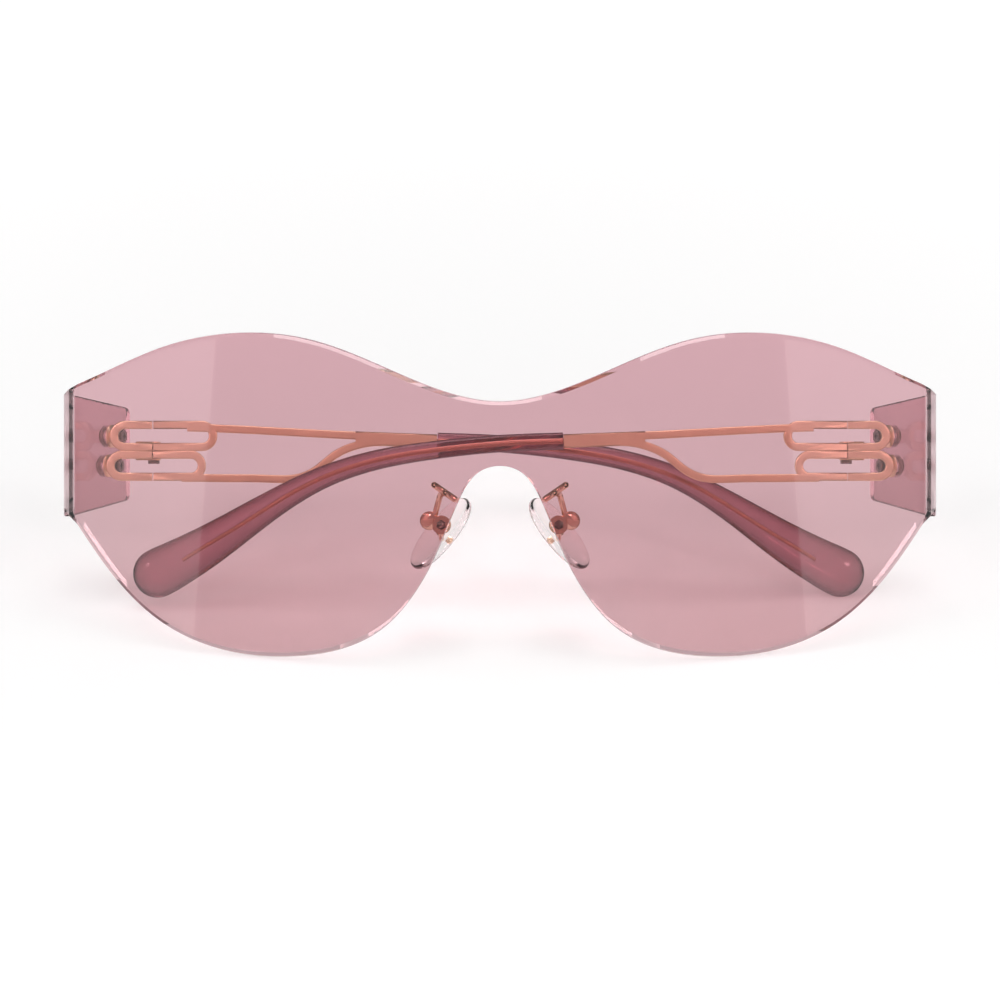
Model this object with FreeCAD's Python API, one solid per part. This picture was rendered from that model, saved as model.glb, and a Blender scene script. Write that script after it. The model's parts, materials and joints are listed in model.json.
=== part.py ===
# Folded shield sunglasses: one bent lens, two hinged temples, two rocking nose pads.
# Built upright (X across, Y from front to back, Z up), then leaned back onto the floor.
import math
import os

import FreeCAD
import Part
from FreeCAD import Rotation, Vector

# Lens, in millimetres and degrees
OVERALL_WIDTH = 150.0
LENS_THICKNESS = 2.0
LENS_RADIUS = 200.0
LENS_BEVEL = 0.7
BEND_INSIDE = 0.6
WING_TOE_IN = 20.0
WING_LENGTH = 21.7
WING_TOP = (18.0, 16.3)
WING_BOTTOM = (-2.7, 0.0)
WING_CORNER = 0.9

# Lens outline, right half; brow and cheek stations are shares of the half width, the nose is in millimetres
BRIDGE_TOP = 16.6
BROW_LINE = ((0.268, 22.6), (0.448, 27.4), (0.563, 28.35), (0.769, 26.1), (0.915, 21.7))
CORNER_INSET = 2.2
CORNER_TOP = 19.95
CORNER_BOTTOM = -4.2
SHOULDER_TOP = 18.2
SHOULDER_BOTTOM = -1.4
CHEEK_LINE = ((0.849, -15.9), (0.769, -20.9), (0.677, -24.3), (0.585, -26.0), (0.472, -26.4), (0.359, -25.1))
NOSE_LINE = ((20.1, -21.8), (14.25, -15.4), (11.0, -9.6), (6.8, 0.2), (3.5, 4.7))
NOSE_TOP = 5.7

# Stacked loops, split at the hinge; each reaches inwards and outwards from the hinge line
PLATE_SETBACK = 3.284
PLATE_THICKNESS = 1.2
PLATE_ROUND = 0.25
LOOP_HEIGHT = 5.3
LOOP_BAR = 1.45
LOOP_PITCH = 5.2
LOOP_MIDDLE = 8.58
UPPER_LOOP = (11.15, 7.45)
LOWER_LOOP = (9.2, 8.05)

# Hinge
HINGE_INSET = 8.152
SEAM_GAP = 0.2
KNUCKLE_RADIUS = 1.2
KNUCKLE_HEIGHT = 0.9
LEAF_LENGTH = 3.0
HINGE_GAP = 0.1
HINGE_PIN_RADIUS = 0.6
RUNNING_CLEARANCE = 0.04
FIXED_CLEARANCE = 0.02
HINGE_WASHER = 0.2
SCREW_HEAD_RADIUS = 1.0
SCREW_HEAD_HEIGHT = 0.6
DRIVER_SLOT = 0.3
TEMPLE_GAP = 0.66

# Lens screws and the bosses behind them; each boss is measured along the wing from the end of the bend
UPPER_BOSS = 14.0
LOWER_BOSS = 12.9
BOSS_RADIUS = 1.5
BOSS_THICKNESS = 1.5
FLANGE_RADIUS = 2.0
FLANGE_THICKNESS = 0.5
LUG_HEIGHT = 2.2
LUG_MARGIN = (0.5, 0.3)
LUG_DEPTH = 1.25
LUG_BITE = 0.7
SEAT_GAP = 0.05
SHANK_RADIUS = 0.75
BUSH_RADIUS = 1.25
WASHER_RADIUS = 1.9
WASHER_THICKNESS = 0.3
HEAD_RADIUS = 1.6
HEAD_HEIGHT = 0.9
NUT_RADIUS = 1.25
NUT_THICKNESS = 1.1

# Temple bars and tip; stations are counted from the hinge and stretched to the temple's length
TEMPLE_LENGTH = 0.824 * OVERALL_WIDTH
BAR_WIDTH = 1.4
STEM_WIDTH = 2.4
UPPER_BAR = ((6.0, 12.65), (13.8, 12.38), (24.0, 11.85), (38.0, 11.15))
LOWER_BAR = ((5.0, 3.85), (12.0, 3.8), (20.0, 3.72), (25.6, 3.95), (28.4, 5.2), (31.6, 7.75), (35.6, 9.55),
             (40.0, 10.1))
STEM = ((35.4, 10.8), (42.0, 10.55), (49.6, 10.27))
TIP_LINE = ((48.4, 10.3), (61.0, 9.8), (72.2, 8.68), (83.2, 6.75), (91.9, 3.8), (102.9, -2.35),
            (111.7, -8.0), (120.4, -12.75), (124.2, -14.6))
TIP_START = 49.7
TIP_HEIGHTS = ((49.7, 3.0), (72.2, 3.2), (83.2, 3.5), (91.9, 3.9), (102.9, 5.4), (111.7, 7.2), (119.0, 8.5))
TIP_THICKNESS = (1.9, 3.2)
TIP_ROUND = 4.3
TIP_STATIONS = 9
ROUND_STATIONS = 5
ROUND_STOP = 0.4
CORE_HEIGHTS = ((48.4, 0.9), (62.0, 0.8), (76.0, 0.75), (116.0, 0.6))
CORE_THICKNESS = 0.5
CORE_STATIONS = 7
CORE_CLEARANCE = 0.03

# Nose pads
PAD_BAR = ((11.0, 2.5), (7.6, 0.17))
PAD_BAR_RADIUS = 0.55
PAD_ARM_RADIUS = 0.5
PAD_ARM_FROM = 0.55
PAD_ARM_KNEE = (0.9, 2.6, -0.3)
PEG_RADIUS = 0.4
PEG_DEPTH = 1.2
PAD_SCREW = (9.9, -4.2)
CHEEK_RADIUS = 1.6
CHEEK_THICKNESS = 0.7
SECOND_LOBE = (2.0, 0.7)
BOX_BRIDGE_RADIUS = 0.96
BOX_FRONT = 6.4
TONGUE_THICKNESS = 1.0
TONGUE_GAP = 0.1
PAD_SCREW_RADIUS = 0.5
PAD_HEAD_RADIUS = 1.5
SOCKET_RADIUS = 0.85
SOCKET_DEPTH = 0.4
PAD_LENGTH = 14.8
PAD_WIDTH = 7.6
PAD_THICKNESS = 2.2
PAD_LEAN = -39.0
PAD_TURN = 50.0
PAD_BEHIND = 0.29
PAD_INWARD = 0.2
PAD_BELOW = 1.5
TONGUE_RADIUS = 1.28
STUD_RADIUS = 0.4
STUD_DROP = 0.8

# Workshop values
REACH = 60.0
TINY = 0.01
MESH_STEP = 0.05
HALVINGS = 40
HEXAGON = 6
ACROSS = Vector(1, 0, 0)
BACKWARD = Vector(0, 1, 0)
UPWARD = Vector(0, 0, 1)


def spline(points):
    curve = Part.BSplineCurve()
    curve.interpolate(points)
    return curve


def join(shapes):
    return shapes[0].multiFuse(shapes[1:]).removeSplitter()


def wire_face(edges):
    return Part.Face(Part.Wire(Part.__sortEdges__(edges)))


def tube(base, axis, outer, inner, length):
    return Part.makeCylinder(outer, length, base, axis).cut(Part.makeCylinder(inner, length, base, axis))


def hexagon(centre, axis, first_corner):
    turns = [Rotation(axis, 360 / HEXAGON * k) for k in range(HEXAGON + 1)]
    return Part.Face(Part.makePolygon([centre + turn.multVec(first_corner) for turn in turns]))


def same(point):
    return point


def mirrored(point):
    return Vector(-point.x, point.y, point.z)


def between(value, table):
    # A size along the temple, straight between the named stations
    for (low, first), (high, second) in zip(table, table[1:]):
        if value <= high:
            return first + (second - first) * max(0.0, value - low) / (high - low)
    return table[-1][1]


# Lens blank: the bent sheet seen from above, pulled up
half_width = OVERALL_WIDTH / 2
bend_radius = LENS_THICKNESS + BEND_INSIDE
turn = math.asin((half_width - bend_radius) / (LENS_RADIUS - bend_radius))
toe = math.radians(WING_TOE_IN)
bend_centre = Vector((LENS_RADIUS - bend_radius) * math.sin(turn),
                     LENS_RADIUS - (LENS_RADIUS - bend_radius) * math.cos(turn), 0)
wing_out = Vector(math.cos(toe), math.sin(toe), 0)
wing_along = Vector(-math.sin(toe), math.cos(toe), 0)


def sheet_side(depth):
    # The stations of one face of the sheet, depth below its outer face, from the middle to the wing's end
    radius = LENS_RADIUS - depth
    bend = bend_radius - depth
    front_end = Vector(radius * math.sin(turn), LENS_RADIUS - radius * math.cos(turn), 0)
    half_turn = (turn - math.pi / 2 + toe) / 2
    bend_middle = bend_centre + Vector(math.cos(half_turn), math.sin(half_turn), 0) * bend
    wing_start = bend_centre + wing_out * bend
    return front_end, bend_middle, wing_start, wing_start + wing_along * WING_LENGTH


def sheet_edges(depth):
    front_end, bend_middle, wing_start, wing_end = sheet_side(depth)
    middle = Vector(0, depth, 0)
    edges = [Part.Arc(mirrored(front_end), middle, front_end).toShape()]
    for place in (same, mirrored):
        edges.append(Part.Arc(place(front_end), place(bend_middle), place(wing_start)).toShape())
        edges.append(Part.makeLine(place(wing_start), place(wing_end)))
    return edges, wing_end


outer_edges, outer_end = sheet_edges(0)
inner_edges, inner_end = sheet_edges(LENS_THICKNESS)
ends = [Part.makeLine(outer_end, inner_end), Part.makeLine(mirrored(outer_end), mirrored(inner_end))]
sheet = wire_face(outer_edges + inner_edges + ends)
sheet.translate(Vector(0, 0, -REACH))
lens = sheet.extrude(Vector(0, 0, 2 * REACH))


# Front outline: brow above, cheeks and nose arch below
def half_to_full(half, middle):
    right = [Vector(x, -REACH, z) for x, z in half]
    left = [mirrored(p) for p in reversed(right)]
    return left, right, Vector(0, -REACH, middle)


corner_x = half_width - CORNER_INSET
brow_half = [(share * half_width, z) for share, z in BROW_LINE] + [(corner_x, CORNER_TOP)]
left, right, middle = half_to_full(brow_half, BRIDGE_TOP)
brow = spline(left + [middle] + right).toShape()
cheek_half = [(corner_x, CORNER_BOTTOM)] + [(share * half_width, z) for share, z in CHEEK_LINE]
left, right, middle = half_to_full(list(reversed(cheek_half + list(NOSE_LINE))), NOSE_TOP)
cheeks = spline(left + [middle] + right).toShape()
outline = [brow, cheeks]
for sign in (-1, 1):
    stations = [(corner_x, CORNER_TOP), (OVERALL_WIDTH, CORNER_TOP),
                (OVERALL_WIDTH, CORNER_BOTTOM), (corner_x, CORNER_BOTTOM)]
    points = [Vector(sign * x, -REACH, z) for x, z in stations]
    outline += [Part.makeLine(a, b) for a, b in zip(points, points[1:])]
lens = lens.common(wire_face(outline).extrude(BACKWARD * 3 * REACH))

# Side outline: the wings taper towards their ends, with rounded corners
bend_start = sheet_side(LENS_THICKNESS)[0].y
wing_start_y = bend_centre.y
wing_end_y = outer_end.y


def past_wing(heights):
    # The wing's edge line carried on to twice the wing's length
    return 2 * wing_end_y - wing_start_y, 2 * heights[1] - heights[0]


side_points = [(-REACH, -REACH), (-REACH, REACH), (bend_start, REACH), (bend_start, CORNER_TOP),
               (wing_start_y, WING_TOP[0]), past_wing(WING_TOP), past_wing(WING_BOTTOM),
               (wing_start_y, WING_BOTTOM[0]), (bend_start, CORNER_BOTTOM), (bend_start, -REACH),
               (-REACH, -REACH)]
side = Part.Face(Part.makePolygon([Vector(-OVERALL_WIDTH, y, z) for y, z in side_points]))
lens = lens.common(side.extrude(ACROSS * 2 * OVERALL_WIDTH))


def wing_end_corner(edge):
    ends = [v.Point for v in edge.Vertexes]
    short = edge.Length < LENS_THICKNESS * 5 / 4
    flat = abs(ends[0].z - ends[-1].z) < LENS_THICKNESS / 4
    return short and flat and min(p.y for p in ends) > inner_end.y - LENS_THICKNESS / 20


lens = lens.makeFillet(WING_CORNER, [e for e in lens.Edges if wing_end_corner(e)])


# Polished bevel along the front edge of the outline
def on_front_outline(edge):
    points = edge.discretize(5)
    heights = [abs(LENS_RADIUS - math.hypot(p.x, LENS_RADIUS - p.y)) for p in points]
    upright = abs(points[0].x - points[-1].x) < TINY
    return max(heights) < TINY and not upright and edge.Length > LENS_THICKNESS


lens = lens.makeChamfer(LENS_BEVEL, [e for e in lens.Edges if on_front_outline(e)])

# Shoulders: the edge steps down to the wing's height round the bend
for sign in (-1, 1):
    for corner_z, shoulder_z in ((CORNER_TOP, SHOULDER_TOP), (CORNER_BOTTOM, SHOULDER_BOTTOM)):
        beyond_z = 2 * corner_z - shoulder_z
        stations = [(corner_x, corner_z), (half_width, shoulder_z), (OVERALL_WIDTH, shoulder_z),
                    (OVERALL_WIDTH, beyond_z), (corner_x, beyond_z), (corner_x, corner_z)]
        wedge = Part.Face(Part.makePolygon([Vector(sign * x, -REACH, z) for x, z in stations]))
        lens = lens.cut(wedge.extrude(BACKWARD * (REACH + wing_start_y)))


# Fasteners through the wing; height is the loop's middle line
def boss_seat(along, height):
    seat = sheet_side(LENS_THICKNESS)[2] + wing_along * along
    return Vector(seat.x, seat.y, height)


hinge_x = boss_seat(LOWER_BOSS, 0).x - HINGE_INSET
plate_front = boss_seat(LOWER_BOSS, 0).y - PLATE_SETBACK
plate_back = plate_front + PLATE_THICKNESS
hinge_y = plate_back + HINGE_GAP + KNUCKLE_RADIUS
boss_heights = (LOOP_MIDDLE + LOOP_PITCH / 2, LOOP_MIDDLE - LOOP_PITCH / 2)
screws = []
nuts = []
washers = []
bushes = []
bosses = []
for height, along, loop_reach in zip(boss_heights, (UPPER_BOSS, LOWER_BOSS), (UPPER_LOOP[1], LOWER_LOOP[1])):
    seat = boss_seat(along, height)
    outer = seat + wing_out * LENS_THICKNESS
    hole_start = seat - wing_out * LENS_THICKNESS
    for place in (same, mirrored):
        hole = Part.makeCylinder(BUSH_RADIUS + FIXED_CLEARANCE, 3 * LENS_THICKNESS, place(hole_start),
                                 place(wing_out))
        lens = lens.cut(hole)
    shank_hole = SHANK_RADIUS + FIXED_CLEARANCE
    bushes.append(tube(seat, wing_out, BUSH_RADIUS, shank_hole, LENS_THICKNESS))
    washer_seat = outer + wing_out * FIXED_CLEARANCE
    washers.append(tube(washer_seat, wing_out, WASHER_RADIUS, shank_hole, WASHER_THICKNESS))
    head_seat = washer_seat + wing_out * (WASHER_THICKNESS + FIXED_CLEARANCE)
    dome_radius = (HEAD_RADIUS ** 2 + HEAD_HEIGHT ** 2) / (2 * HEAD_HEIGHT)
    dome = Part.makeSphere(dome_radius, head_seat + wing_out * (HEAD_HEIGHT - dome_radius))
    head = Part.makeCylinder(HEAD_RADIUS, HEAD_HEIGHT, head_seat, wing_out).common(dome)
    boss_base = seat - wing_out * SEAT_GAP
    nut_base = boss_base - wing_out * (BOSS_THICKNESS + FIXED_CLEARANCE)
    shank_end = nut_base - wing_out * (NUT_THICKNESS + FIXED_CLEARANCE)
    shank = Part.makeCylinder(SHANK_RADIUS, (head_seat - shank_end).Length, shank_end, wing_out)
    screw = head.fuse(shank).removeSplitter()
    for angle in (0, 90):
        bar = Part.makeBox(2 * SHANK_RADIUS, DRIVER_SLOT, DRIVER_SLOT)
        bar.translate(Vector(-SHANK_RADIUS, -DRIVER_SLOT / 2, 0))
        bar.rotate(Vector(), UPWARD, angle)
        bar.Placement = FreeCAD.Placement(shank_end, Rotation(UPWARD, wing_out)).multiply(bar.Placement)
        screw = screw.cut(bar)
    screws.append(screw)
    nut = hexagon(nut_base, wing_out, UPWARD * NUT_RADIUS).extrude(wing_out * -NUT_THICKNESS)
    nuts.append(nut.cut(Part.makeCylinder(shank_hole, 3 * NUT_THICKNESS, nut_base + wing_out * NUT_THICKNESS,
                                          wing_out * -1)))
    flange = Part.makeCylinder(FLANGE_RADIUS, FLANGE_THICKNESS, boss_base, wing_out * -1)
    barrel = Part.makeCylinder(BOSS_RADIUS, BOSS_THICKNESS, boss_base, wing_out * -1)
    loop_end = hinge_x + loop_reach
    lug_y = plate_front + PLATE_THICKNESS / 2
    lug_root = boss_base - wing_along * (BOSS_RADIUS - LUG_BITE)
    lug_points = [Vector(loop_end - LOOP_BAR + LUG_MARGIN[0], lug_y, height),
                  Vector(loop_end - LUG_MARGIN[1], lug_y, height),
                  lug_root - wing_out * (FLANGE_THICKNESS / 2), lug_root - wing_out * LUG_DEPTH]
    lug = Part.Face(Part.makePolygon(lug_points + lug_points[:1])).extrude(UPWARD * LUG_HEIGHT)
    lug.translate(UPWARD * (-LUG_HEIGHT / 2))
    bore = Part.makeCylinder(shank_hole, 3 * BOSS_THICKNESS, boss_base + wing_out * BOSS_THICKNESS,
                             wing_out * -1)
    bosses.append((join([barrel, flange, lug]), bore))


# Stadium loops in the plate's plane
def stadium(low, high, height, middle):
    radius = height / 2
    top = middle + radius
    bottom = middle - radius
    outer_top = Vector(high - radius, plate_front, top)
    outer_bottom = Vector(high - radius, plate_front, bottom)
    inner_top = Vector(low + radius, plate_front, top)
    inner_bottom = Vector(low + radius, plate_front, bottom)
    edges = [Part.makeLine(inner_top, outer_top), Part.makeLine(outer_bottom, inner_bottom),
             Part.Arc(outer_top, Vector(high, plate_front, middle), outer_bottom).toShape(),
             Part.Arc(inner_bottom, Vector(low, plate_front, middle), inner_top).toShape()]
    return wire_face(edges).extrude(BACKWARD * PLATE_THICKNESS)


def flat_edges(shape):
    return [e for e in shape.Edges if e.BoundBox.YLength < TINY]


def loop(reaches, middle):
    low = hinge_x - reaches[0]
    high = hinge_x + reaches[1]
    hole = stadium(low + LOOP_BAR, high - LOOP_BAR, LOOP_HEIGHT - 2 * LOOP_BAR, middle)
    ring = stadium(low, high, LOOP_HEIGHT, middle).cut(hole)
    return ring.makeFillet(PLATE_ROUND, flat_edges(ring))


loops = [loop(UPPER_LOOP, boss_heights[0]), loop(LOWER_LOOP, boss_heights[1])]
outside = Part.makeBox(REACH, 2 * REACH, 2 * REACH, Vector(hinge_x + SEAM_GAP / 2, 0, -REACH))
inside = Part.makeBox(REACH, 2 * REACH, 2 * REACH, Vector(hinge_x - SEAM_GAP / 2 - REACH, 0, -REACH))

# Hinge: two knuckles on the end piece, one on the temple, a screw and two washers
pitch = KNUCKLE_HEIGHT + HINGE_WASHER + 2 * RUNNING_CLEARANCE
hinge_point = Vector(hinge_x, hinge_y, 0)


def knuckle(level, clearance, sign):
    base = Vector(hinge_x, hinge_y, LOOP_MIDDLE + level * pitch - KNUCKLE_HEIGHT / 2)
    barrel = Part.makeCylinder(KNUCKLE_RADIUS, KNUCKLE_HEIGHT, base)
    leaf_start = hinge_x if sign > 0 else hinge_x - LEAF_LENGTH
    leaf = Part.makeBox(LEAF_LENGTH, hinge_y - plate_back + PLATE_ROUND, KNUCKLE_HEIGHT,
                        Vector(leaf_start, plate_back - PLATE_ROUND, base.z))
    leaf = leaf.cut(Part.makeCylinder(KNUCKLE_RADIUS, KNUCKLE_HEIGHT, base))
    gap = Part.makeBox(2 * KNUCKLE_RADIUS, PLATE_THICKNESS, KNUCKLE_HEIGHT,
                       Vector(hinge_x - KNUCKLE_RADIUS, plate_back - PLATE_THICKNESS + HINGE_GAP / 2, base.z))
    return barrel.fuse(leaf.cut(gap)), Part.makeCylinder(HINGE_PIN_RADIUS + clearance, KNUCKLE_HEIGHT, base)


end_piece = join([ring.common(outside) for ring in loops] + [boss for boss, bore in bosses]
                 + [knuckle(level, 0, 1)[0] for level in (-1, 1)])
pin_holes = [knuckle(level, FIXED_CLEARANCE, 1)[1] for level in (-1, 1)]
for cutter in [bore for boss, bore in bosses] + pin_holes:
    end_piece = end_piece.cut(cutter)

pin_length = 2 * pitch + KNUCKLE_HEIGHT + FIXED_CLEARANCE
pin_foot = Vector(hinge_x, hinge_y, LOOP_MIDDLE - pitch - KNUCKLE_HEIGHT / 2 - FIXED_CLEARANCE)
head_base = pin_foot - UPWARD * SCREW_HEAD_HEIGHT
hinge_screw = join([Part.makeCylinder(HINGE_PIN_RADIUS, pin_length, pin_foot),
                    Part.makeCylinder(SCREW_HEAD_RADIUS, SCREW_HEAD_HEIGHT, head_base)])
slot = Part.makeBox(2 * SCREW_HEAD_RADIUS, DRIVER_SLOT, DRIVER_SLOT)
slot.translate(head_base + Vector(-SCREW_HEAD_RADIUS, -DRIVER_SLOT / 2, 0))
hinge_screw = hinge_screw.cut(slot)
hinge_washers = []
for level in (-1, 1):
    washer_z = LOOP_MIDDLE + level * pitch / 2 - HINGE_WASHER / 2
    hinge_washers.append(tube(Vector(hinge_x, hinge_y, washer_z), UPWARD, KNUCKLE_RADIUS,
                              HINGE_PIN_RADIUS + RUNNING_CLEARANCE, HINGE_WASHER))


# Temple arm: half loops, two bars that join in a Y, and the core inside the tip
stretch = TEMPLE_LENGTH / TIP_LINE[-1][0]


def on_temple(along, height):
    return Vector(hinge_x - along * stretch, plate_front, height)


def ribbon(stations, width):
    points = [on_temple(s, z) for s, z in stations]
    curve = spline(points)
    upper = []
    lower = []
    for point in points:
        tangent = curve.tangent(curve.parameter(point))[0]
        offset = Vector(-tangent.z, 0, tangent.x) * (width / 2)
        upper.append(point + offset)
        lower.append(point - offset)
    sides = [spline(upper).toShape(), spline(lower).toShape()]
    ends = [Part.makeLine(upper[0], lower[0]), Part.makeLine(upper[-1], lower[-1])]
    bar = wire_face(sides + ends).extrude(BACKWARD * PLATE_THICKNESS)
    return bar.makeFillet(PLATE_ROUND, [e for e in flat_edges(bar) if e.Length > 2 * width])


tip_curve = spline([on_temple(s, z) + BACKWARD * (PLATE_THICKNESS / 2) for s, z in TIP_LINE])


def section(parameter, height, thickness):
    point = tip_curve.value(parameter)
    tangent = tip_curve.tangent(parameter)[0]
    across = Vector(-tangent.z, 0, tangent.x)
    major, minor = (across, BACKWARD) if height >= thickness else (BACKWARD, across)
    ellipse = Part.Ellipse(point + major * (max(height, thickness) / 2),
                           point + minor * (min(height, thickness) / 2), point)
    return Part.Wire(ellipse.toShape())


def along_temple(parameter):
    return (hinge_x - tip_curve.value(parameter).x) / stretch


def parameter_at(along):
    low, high = tip_curve.FirstParameter, tip_curve.LastParameter
    for step in range(HALVINGS):
        middle = (low + high) / 2
        low, high = (middle, high) if along_temple(middle) < along else (low, middle)
    return low


def core_body(clearance):
    core_start, core_end = CORE_HEIGHTS[0][0], CORE_HEIGHTS[-1][0] + clearance
    wires = []
    for k in range(CORE_STATIONS + 1):
        along = core_start + (core_end - core_start) * k / CORE_STATIONS
        height = between(along, CORE_HEIGHTS) + 2 * clearance
        wires.append(section(parameter_at(along), height, CORE_THICKNESS + 2 * clearance))
    return Part.makeLoft(wires, True, False)


bars = [ribbon(UPPER_BAR, BAR_WIDTH), ribbon(LOWER_BAR, BAR_WIDTH), ribbon(STEM, STEM_WIDTH)]
temple_arm = join([ring.common(inside) for ring in loops] + bars + [core_body(0), knuckle(0, 0, -1)[0]])
temple_arm = temple_arm.cut(knuckle(0, RUNNING_CLEARANCE, -1)[1])

# Temple tip: an oval section that grows into a round paddle
tip_wires = []
origin = tip_curve.FirstParameter
round_from = tip_curve.length() - TIP_ROUND
first = parameter_at(TIP_START)
round_start = tip_curve.parameterAtDistance(round_from, origin)
for k in range(TIP_STATIONS):
    share = k / TIP_STATIONS
    parameter = first + (round_start - first) * share
    thickness = TIP_THICKNESS[0] + (TIP_THICKNESS[1] - TIP_THICKNESS[0]) * share
    tip_wires.append(section(parameter, between(along_temple(parameter), TIP_HEIGHTS), thickness))
for k in range(ROUND_STATIONS + 1):
    # The last oval stops just short of a point
    reach = math.sin(math.pi / 2 * k / (ROUND_STATIONS + ROUND_STOP))
    parameter = tip_curve.parameterAtDistance(round_from + TIP_ROUND * reach, origin)
    shrink = math.sqrt(1 - reach ** 2)
    tip_wires.append(section(parameter, TIP_HEIGHTS[-1][1] * shrink, TIP_THICKNESS[1] * shrink))
temple_tip = Part.makeLoft(tip_wires, True, False).cut(core_body(CORE_CLEARANCE))


# Nose pads: bar pegged to the back of the lens, arm, box, screw, insert and pad
def chain(points, radius):
    pieces = []
    for a, b in zip(points, points[1:]):
        pieces.append(Part.makeCylinder(radius, (b - a).Length, a, b - a))
    return join(pieces + [Part.makeSphere(radius, p) for p in points])


def lens_back(x):
    return LENS_RADIUS - math.sqrt((LENS_RADIUS - LENS_THICKNESS) ** 2 - x ** 2)


bar_y = lens_back(PAD_BAR[0][0]) + PAD_BAR_RADIUS + SEAT_GAP
bar_far = Vector(PAD_BAR[0][0], bar_y, PAD_BAR[0][1])
bar_near = Vector(PAD_BAR[1][0], bar_y, PAD_BAR[1][1])
arm_root = bar_far + (bar_near - bar_far) * PAD_ARM_FROM
screw_x, screw_z = PAD_SCREW
box_back = BOX_FRONT + 2 * CHEEK_THICKNESS + TONGUE_THICKNESS + 2 * TONGUE_GAP
lobe = Vector(SECOND_LOBE[0], 0, SECOND_LOBE[1])


def cheek(start):
    centre = Vector(screw_x, start, screw_z)
    return join([Part.makeCylinder(CHEEK_RADIUS, CHEEK_THICKNESS, centre, BACKWARD),
                 Part.makeCylinder(CHEEK_RADIUS, CHEEK_THICKNESS, centre + lobe, BACKWARD)])


back_cheek = box_back - CHEEK_THICKNESS
box_centre = Vector(screw_x, BOX_FRONT, screw_z)
bridge_centre = box_centre + lobe * ((CHEEK_RADIUS + BOX_BRIDGE_RADIUS) / lobe.Length)
bridge = Part.makeCylinder(BOX_BRIDGE_RADIUS, box_back - BOX_FRONT, bridge_centre, BACKWARD)
arm_tip = box_centre + lobe / 2 + Vector(0, CHEEK_THICKNESS / 2, CHEEK_RADIUS)
peg_length = PAD_BAR_RADIUS + SEAT_GAP + PEG_DEPTH
pegs = []
for foot in (bar_far, arm_root):
    pegs.append(Part.makeCylinder(PEG_RADIUS, peg_length, foot, BACKWARD * -1))
    for place in (same, mirrored):
        hole = Part.makeCylinder(PEG_RADIUS + FIXED_CLEARANCE, peg_length + FIXED_CLEARANCE, place(foot),
                                 BACKWARD * -1)
        lens = lens.cut(hole)
pad_arm = join([chain([bar_far, bar_near], PAD_BAR_RADIUS)] + pegs + [
    chain([arm_root, arm_root + Vector(*PAD_ARM_KNEE), arm_tip], PAD_ARM_RADIUS),
    cheek(BOX_FRONT), cheek(back_cheek), bridge])
pad_bore = Part.makeCylinder(PAD_SCREW_RADIUS + FIXED_CLEARANCE, REACH, Vector(screw_x, 0, screw_z),
                             BACKWARD)
pad_arm = pad_arm.cut(pad_bore)

pad_head = Vector(screw_x, BOX_FRONT - SCREW_HEAD_HEIGHT - FIXED_CLEARANCE, screw_z)
pad_screw = join([Part.makeCylinder(PAD_HEAD_RADIUS, SCREW_HEAD_HEIGHT, pad_head, BACKWARD),
                  Part.makeCylinder(PAD_SCREW_RADIUS, box_back - pad_head.y, pad_head, BACKWARD)])
recess = hexagon(pad_head, BACKWARD, UPWARD * SOCKET_RADIUS)
pad_screw = pad_screw.cut(recess.extrude(BACKWARD * SOCKET_DEPTH))

tongue_front = BOX_FRONT + CHEEK_THICKNESS + TONGUE_GAP
tongue_centre = Vector(screw_x, tongue_front, screw_z)
pad_front_reach = PAD_WIDTH / 2 * math.sin(math.radians(PAD_TURN))
pad_centre = Vector(screw_x + PAD_INWARD, box_back + pad_front_reach + PAD_BEHIND, screw_z - PAD_BELOW)
pad_turn = Rotation(UPWARD, PAD_TURN)
pad_lean = Rotation(BACKWARD, PAD_LEAN)
pad_place = FreeCAD.Placement(pad_centre, pad_lean.multiply(pad_turn))
pad_blank = Part.makeSphere(1.0)
stretch = FreeCAD.Matrix()
stretch.scale(PAD_WIDTH / 2, PAD_THICKNESS / 2, PAD_LENGTH / 2)
pad_blank = pad_blank.transformGeometry(stretch)
pad_blank.Placement = pad_place
tongue_middle = tongue_centre + BACKWARD * (TONGUE_THICKNESS / 2)
stud_root = tongue_middle - UPWARD * (TONGUE_RADIUS - STUD_RADIUS)
stud_knee = tongue_middle - UPWARD * (CHEEK_RADIUS + STUD_DROP)
pad_insert = join([Part.makeCylinder(TONGUE_RADIUS, TONGUE_THICKNESS, tongue_centre, BACKWARD),
                   chain([stud_root, stud_knee, pad_centre], STUD_RADIUS),
                   Part.makeSphere(STUD_RADIUS * 3 / 2, pad_centre)])
insert_bore = Part.makeCylinder(PAD_SCREW_RADIUS + RUNNING_CLEARANCE, REACH, Vector(screw_x, 0, screw_z),
                                BACKWARD)
pad_insert = pad_insert.cut(insert_bore)
nose_pad = pad_blank.cut(pad_insert)

# Both sides: the right one as drawn, the left one mirrored, temples turned by their fold angle
fixed = {"end_piece": [end_piece], "lens_screws": screws, "lens_nuts": nuts, "lens_washers": washers,
         "lens_bushes": bushes, "hinge_screw": [hinge_screw], "hinge_washers": hinge_washers,
         "pad_arm": [pad_arm], "pad_screw": [pad_screw], "pad_insert": [pad_insert], "nose_pad": [nose_pad]}
folding = {"temple_arm": [temple_arm], "temple_tip": [temple_tip]}
nodes = {"shield_lens": [lens]}
# The left temple folds last and lies behind the right one, a gap apart
fold_angle = math.degrees(math.asin((TIP_THICKNESS[0] + TEMPLE_GAP) / 2 / hinge_x))
for side_name, fold in (("left", fold_angle), ("right", -fold_angle)):
    for name, solids in list(fixed.items()) + list(folding.items()):
        placed = []
        for solid in solids:
            solid = solid.copy()
            if name in folding:
                solid.rotate(hinge_point, UPWARD, -fold)
            if side_name == "left":
                solid = solid.mirror(Vector(), ACROSS)
            placed.append(solid)
        nodes[side_name + "_" + name] = placed


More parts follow.
